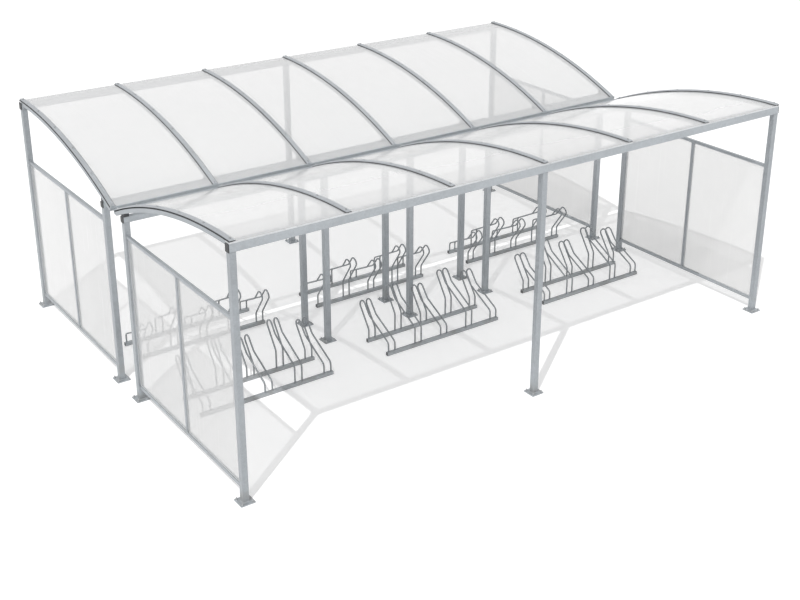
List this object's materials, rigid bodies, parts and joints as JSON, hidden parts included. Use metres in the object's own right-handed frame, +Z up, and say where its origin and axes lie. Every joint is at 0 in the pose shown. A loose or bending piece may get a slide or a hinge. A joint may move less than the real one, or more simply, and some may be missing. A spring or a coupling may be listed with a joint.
{
  "type": "bike shelter",
  "caption": "Double-sided open bike shelter: two curved clear roofs on slim steel posts drain towards the middle, glazed end screens, and floor racks that hold bikes by the front wheel.",
  "frame": {"origin": "on the floor, in the middle of the plan, between the two rows of low posts", "axes": "+X along the shelter, +Y across it from the front half to the rear half, +Z up"},
  "size_m": [6.13, 4.51, 2.2631],
  "materials": {
    "galvanised_steel": "hot-dip galvanised, dull blue-grey with a faint spangle",
    "rack_steel": "galvanised bar, worn smoother where wheels rub",
    "aluminium_strip": "mill finish, drawn lengthways",
    "roof_sheet": "clear solid polycarbonate, slightly hazed",
    "screen_pane": "clear pane with soft reflections",
    "gasket_rubber": "matt black EPDM",
    "black_plastic": "matt moulded black"
  },
  "bodies": {
    "root": {"front_outer_posts": "galvanised_steel", "front_inner_posts": "galvanised_steel", "front_base_plates": "galvanised_steel", "front_outer_beam": "galvanised_steel", "front_inner_purlin": "galvanised_steel", "front_tube_caps": "black_plastic", "front_crest_strip": "aluminium_strip", "front_arch_bars": "galvanised_steel", "front_rail_packers": "black_plastic", "front_roof_sheets": "roof_sheet", "front_glazing_gaskets": "gasket_rubber", "front_cover_strips": "aluminium_strip", "front_cover_screws": "galvanised_steel", "front_eaves_strip": "aluminium_strip", "front_rack_rails": "rack_steel", "front_left_rack_hoops": "rack_steel", "front_middle_rack_hoops": "rack_steel", "front_right_rack_hoops": "rack_steel", "front_left_screen_rails": "galvanised_steel", "front_right_screen_rails": "galvanised_steel", "front_left_screen_panes": "screen_pane", "front_right_screen_panes": "screen_pane", "rear_outer_posts": "galvanised_steel", "rear_inner_posts": "galvanised_steel", "rear_base_plates": "galvanised_steel", "rear_outer_beam": "galvanised_steel", "rear_inner_purlin": "galvanised_steel", "rear_tube_caps": "black_plastic", "rear_crest_strip": "aluminium_strip", "rear_arch_bars": "galvanised_steel", "rear_rail_packers": "black_plastic", "rear_roof_sheets": "roof_sheet", "rear_glazing_gaskets": "gasket_rubber", "rear_cover_strips": "aluminium_strip", "rear_cover_screws": "galvanised_steel", "rear_eaves_strip": "aluminium_strip", "rear_rack_rails": "rack_steel", "rear_left_rack_hoops": "rack_steel", "rear_middle_rack_hoops": "rack_steel", "rear_right_rack_hoops": "rack_steel", "rear_left_screen_rails": "galvanised_steel", "rear_right_screen_rails": "galvanised_steel", "rear_left_screen_panes": "screen_pane", "rear_right_screen_panes": "screen_pane", "screen_mullions": "galvanised_steel"}
  },
  "joints": []
}
